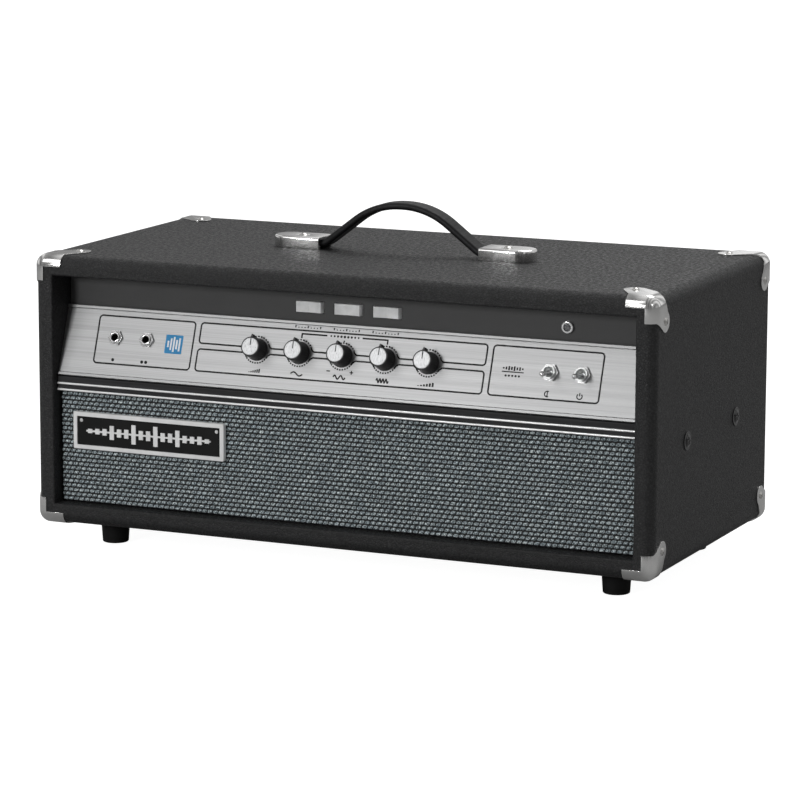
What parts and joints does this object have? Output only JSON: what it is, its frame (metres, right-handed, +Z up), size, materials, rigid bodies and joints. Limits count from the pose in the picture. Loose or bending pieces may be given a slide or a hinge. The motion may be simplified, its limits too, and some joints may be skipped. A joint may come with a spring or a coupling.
{
  "type": "guitar amplifier head",
  "caption": "Vinyl-covered tube amplifier head with a leaning metal control panel, woven grille, metal corners and a strap handle.",
  "frame": {"origin": "on the ground, under the middle of the cabinet", "axes": "+X along the front, to the right seen from the front; +Y towards the rear; +Z up"},
  "size_m": [0.6188, 0.3124, 0.325],
  "materials": {
    "black_vinyl": "embossed vinyl covering, grained",
    "plywood": "raw plywood, edges and inside",
    "black_timber": "black painted timber",
    "bright_trim": "polished silver trim",
    "nickel_corner": "nickel-plated pressed steel",
    "screw_steel": "plated steel screws",
    "black_screw": "black oxide bolts",
    "rubber": "moulded rubber",
    "strap_vinyl": "moulded strap, fine grain",
    "brushed_panel": "brushed aluminium with printed lines",
    "chassis_steel": "satin black painted steel",
    "zinc_steel": "zinc-plated steel",
    "grille_cloth": "basket-weave grille cloth, blue-grey with silver flecks",
    "plate_black": "gloss black plate",
    "knob_black": "moulded phenolic",
    "knob_cap": "spun light aluminium disc",
    "rocker_grey": "light grey moulding",
    "black_plastic": "black moulding",
    "jewel": "dark smoke-grey jewel lens",
    "chrome_fittings": "chromed nuts, switch levers and lamp ring",
    "tube_glass": "clear bulb",
    "phenolic": "brown-black phenolic base",
    "shield_tin": "bright tube shield",
    "transformer": "painted bells and laminations",
    "circuit_board": "green glass-fibre board",
    "capacitor": "sleeved aluminium can"
  },
  "bodies": {
    "root": {"cabinet_bottom_board": "plywood", "cabinet_left_board": "plywood", "cabinet_right_board": "plywood", "cabinet_top_board": "plywood", "chassis": "chassis_steel", "chassis_bolts": "black_screw", "chassis_rails": "zinc_steel", "corner_guards": "nickel_corner", "corner_screws": "screw_steel", "di_connector": "zinc_steel", "faceplate": "brushed_panel", "filter_capacitors": "capacitor", "foot_screws": "screw_steel", "front_rail": "black_timber", "grille_cloth": "grille_cloth", "grille_frame": "black_timber", "guard_cleats": "black_timber", "handle_bolts": "screw_steel", "handle_end_caps": "nickel_corner", "handle_strap": "strap_vinyl", "input_jacks": "black_plastic", "main_board": "circuit_board", "mains_inlet": "black_plastic", "nameplate_emblem": "bright_trim", "nameplate_frame": "bright_trim", "nameplate_plate": "plate_black", "output_transformer": "transformer", "panel_nuts": "chrome_fittings", "pilot_bezel": "chrome_fittings", "pilot_jewel": "jewel", "potentiometers": "zinc_steel", "power_transformer": "transformer", "power_tube_bases": "phenolic", "power_tube_glass": "tube_glass", "preamp_tubes": "tube_glass", "rear_guard": "chassis_steel", "rear_guard_screws": "black_screw", "rear_jacks": "black_plastic", "rocker_housings": "black_plastic", "rubber_feet": "rubber", "toggle_bodies": "zinc_steel", "trim_beads": "bright_trim", "tube_shields": "shield_tin", "tube_sockets": "phenolic", "vinyl_covering": "black_vinyl"},
    "knob_gain": {"knob_gain": "knob_black", "knob_cap_gain": "knob_cap"},
    "knob_bass": {"knob_bass": "knob_black", "knob_cap_bass": "knob_cap"},
    "knob_midrange": {"knob_midrange": "knob_black", "knob_cap_midrange": "knob_cap"},
    "knob_treble": {"knob_treble": "knob_black", "knob_cap_treble": "knob_cap"},
    "knob_master": {"knob_master": "knob_black", "knob_cap_master": "knob_cap"},
    "rocker_left": {"rocker_left": "rocker_grey"},
    "rocker_middle": {"rocker_middle": "rocker_grey"},
    "rocker_right": {"rocker_right": "rocker_grey"},
    "toggle_standby": {"toggle_lever_standby": "chrome_fittings"},
    "toggle_power": {"toggle_lever_power": "chrome_fittings"}
  },
  "joints": [
    {"name": "gain_turn", "type": "hinge", "parent": "root", "child": "knob_gain", "pos_m": [-0.087, -0.13317, 0.2001], "axis": [0, 0.9397, -0.342], "range_deg": [-150, 150]},
    {"name": "bass_turn", "type": "hinge", "parent": "root", "child": "knob_bass", "pos_m": [-0.0444, -0.13317, 0.2001], "axis": [0, 0.9397, -0.342], "range_deg": [-150, 150]},
    {"name": "midrange_turn", "type": "hinge", "parent": "root", "child": "knob_midrange", "pos_m": [-0.0018, -0.13317, 0.2001], "axis": [0, 0.9397, -0.342], "range_deg": [-150, 150]},
    {"name": "treble_turn", "type": "hinge", "parent": "root", "child": "knob_treble", "pos_m": [0.0408, -0.13317, 0.2001], "axis": [0, 0.9397, -0.342], "range_deg": [-150, 150]},
    {"name": "master_turn", "type": "hinge", "parent": "root", "child": "knob_master", "pos_m": [0.0834, -0.13317, 0.2001], "axis": [0, 0.9397, -0.342], "range_deg": [-150, 150]},
    {"name": "rocker_left_tip", "type": "hinge", "parent": "root", "child": "rocker_left", "pos_m": [-0.0395, -0.11713, 0.2413], "axis": [0, 0, 1], "range_deg": [-8, 8]},
    {"name": "rocker_middle_tip", "type": "hinge", "parent": "root", "child": "rocker_middle", "pos_m": [-0.001, -0.11713, 0.2413], "axis": [0, 0, 1], "range_deg": [-8, 8]},
    {"name": "rocker_right_tip", "type": "hinge", "parent": "root", "child": "rocker_right", "pos_m": [0.0375, -0.11713, 0.2413], "axis": [0, 0, 1], "range_deg": [-8, 8]},
    {"name": "standby_switch", "type": "hinge", "parent": "root", "child": "toggle_standby", "pos_m": [0.2003, -0.13122, 0.19961], "axis": [-1, 0, 0], "range_deg": [0, 26]},
    {"name": "power_switch", "type": "hinge", "parent": "root", "child": "toggle_power", "pos_m": [0.2308, -0.13122, 0.19961], "axis": [-1, 0, 0], "range_deg": [0, 26]}
  ]
}
